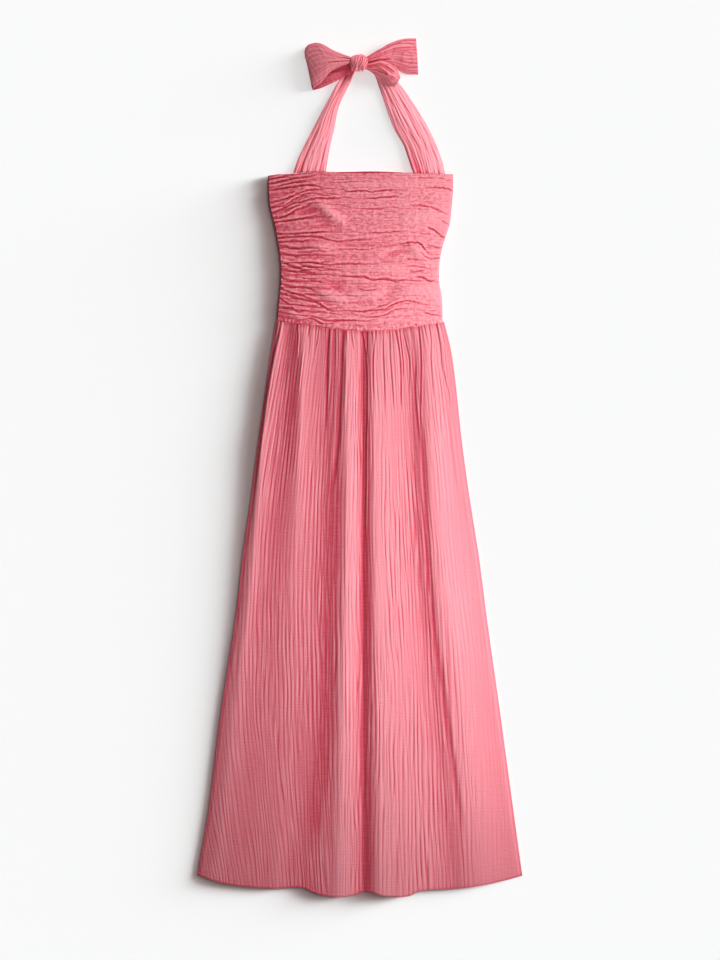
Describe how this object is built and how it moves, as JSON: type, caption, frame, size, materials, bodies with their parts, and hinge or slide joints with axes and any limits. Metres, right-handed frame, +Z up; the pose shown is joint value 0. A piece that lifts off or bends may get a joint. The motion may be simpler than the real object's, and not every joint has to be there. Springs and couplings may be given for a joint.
{
  "type": "halter dress",
  "caption": "Sleeveless halter maxi dress laid flat: ruched bodice, A-line skirt gathered at the waist, and wide neck ties knotted in a bow.",
  "frame": {"origin": "on the surface that the dress lies on, under the middle of its bounding box", "axes": "+X to the right as seen from above with the bow at the top, +Y from hem to bow, +Z up from the surface, out of the front of the dress"},
  "size_m": [0.5621, 1.4862, 0.0265],
  "materials": {
    "cloth": "matte crinkled cotton gauze, pink"
  },
  "bodies": {
    "root": {"bodice_front": "cloth", "bodice_back": "cloth", "skirt_front": "cloth", "skirt_back": "cloth", "strap_left": "cloth", "strap_right": "cloth", "bow_knot": "cloth", "bow_loop_left": "cloth", "bow_tail_right": "cloth", "bow_loop_right": "cloth"}
  },
  "joints": []
}
